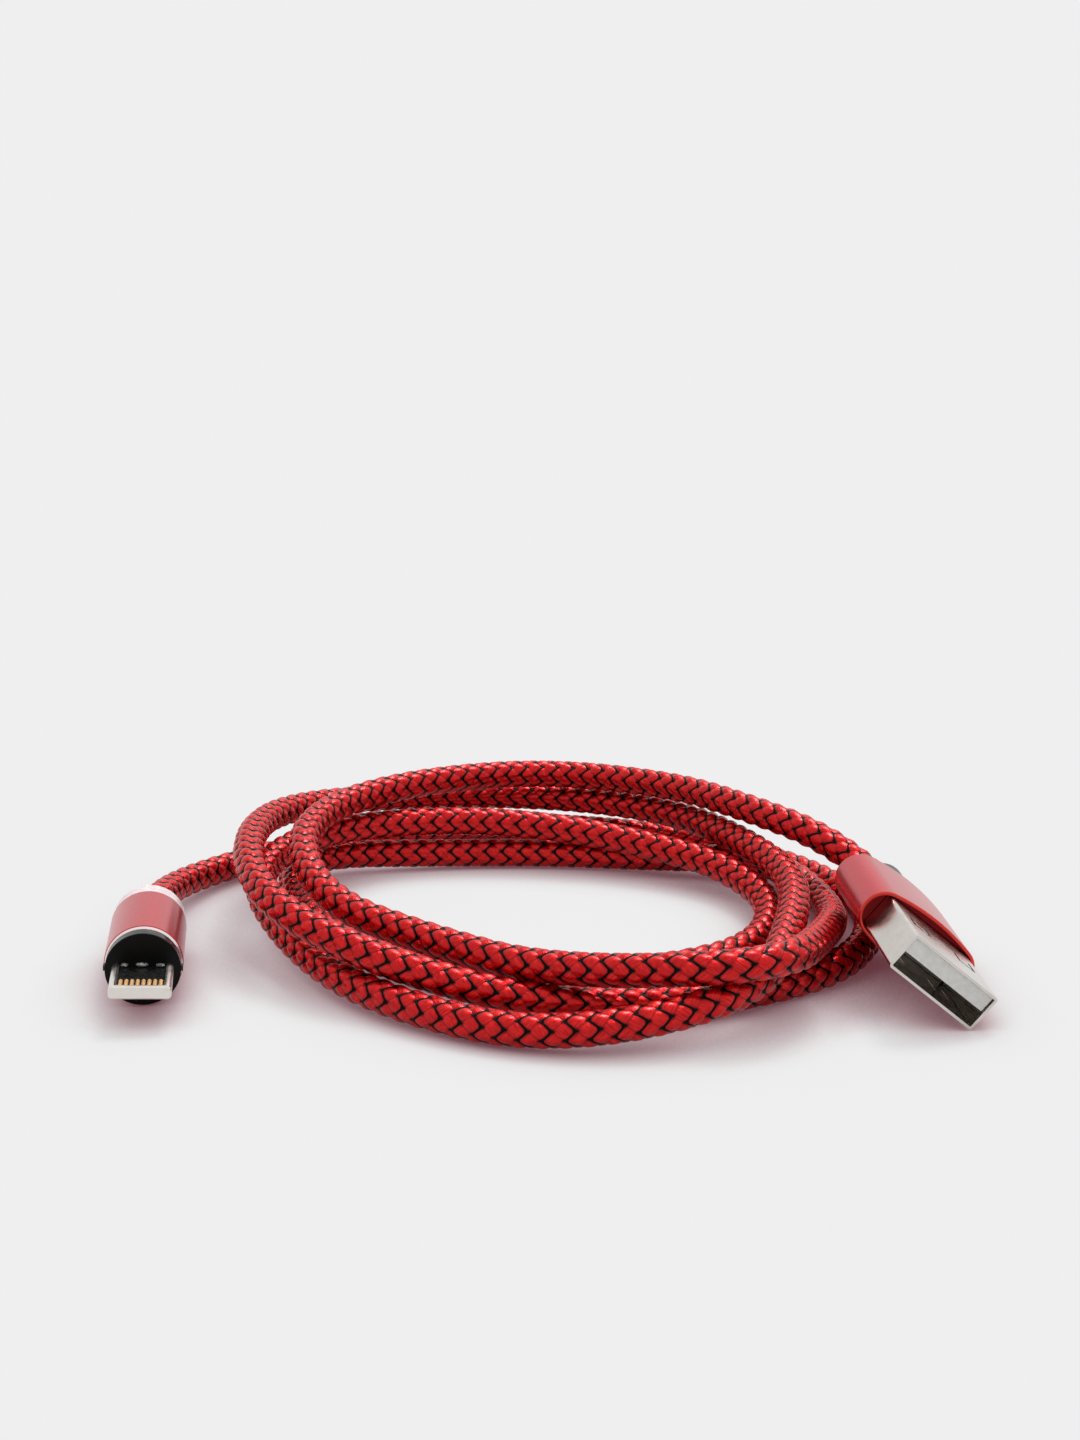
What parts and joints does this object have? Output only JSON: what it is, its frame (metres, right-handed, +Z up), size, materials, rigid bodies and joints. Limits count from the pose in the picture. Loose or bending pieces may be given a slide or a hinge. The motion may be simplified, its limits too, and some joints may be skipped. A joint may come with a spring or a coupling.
{
  "type": "charging cable",
  "caption": "Charging cable with a braided cord coiled up, a flat computer plug in an oval metal housing, and a round magnetic head with a detachable turning tip",
  "frame": {"origin": "on the table, under the middle of the box round the two plugs", "axes": "+X from the phone plug to the computer plug, +Y to the back of the coil, +Z up"},
  "size_m": [0.0994, 0.0844, 0.0174],
  "materials": {
    "red_metal": "satin red anodised",
    "red_braid": "shiny red yarn braid with black threads",
    "bright_steel": "satin nickel",
    "tip_metal": "satin nickel",
    "dark_steel": "dark polished",
    "magnet": "nickel plated",
    "gold": "gold plated",
    "brass": "plain",
    "black_plastic": "black, slight gloss",
    "pale_plastic": "pale grey",
    "clear_plastic": "clear, milky",
    "board": "green solder mask",
    "red_wire": "plain",
    "black_wire": "plain"
  },
  "bodies": {
    "cable": {"usb_collar": "red_metal", "usb_contact_data_minus": "gold", "usb_contact_data_plus": "gold", "usb_contact_ground": "gold", "usb_contact_power": "gold", "usb_crimp": "brass", "usb_housing": "red_metal", "usb_inner_mould": "pale_plastic", "usb_rear_bung": "black_plastic", "usb_shell": "bright_steel", "usb_tongue": "pale_plastic", "usb_wire_ground": "black_wire", "usb_wire_power": "red_wire", "cord_coil": "red_braid", "cord_usb_lead": "red_braid", "cord_phone_lead": "red_braid", "head_sleeve": "red_metal", "head_magnet": "magnet", "head_ring_contact": "brass", "head_core": "black_plastic", "head_pin_barrel": "brass", "head_board": "board", "head_light": "clear_plastic", "head_crimp": "brass", "head_wire_power": "red_wire", "head_wire_ground": "black_wire", "head_inner_mould": "black_plastic", "head_glow_ring": "clear_plastic"},
    "centre_pin": {"head_centre_pin": "gold"},
    "tip_ring": {"tip_armature": "dark_steel"},
    "tip": {"tip_frame": "tip_metal", "tip_carrier": "black_plastic", "tip_pads_top": "gold", "tip_pads_bottom": "gold", "tip_disc": "black_plastic", "tip_board": "board", "tip_backing": "black_plastic", "tip_stud": "gold"}
  },
  "joints": [
    {"name": "pin_press", "type": "slide", "parent": "cable", "child": "centre_pin", "axis": [-0.1478, 0.989, 0], "range_m": [0, 0.00035], "stiffness_N_per_m": 500, "springref_m": -0.0006},
    {"name": "tip_pull_off", "type": "slide", "parent": "cable", "child": "tip_ring", "axis": [0.1478, -0.989, 0], "range_m": [0, 0.008]},
    {"name": "tip_turn", "type": "hinge", "parent": "tip_ring", "child": "tip", "pos_m": [-0.04331, -0.00541, 0.00436], "axis": [0.1478, -0.989, 0], "continuous": true}
  ]
}
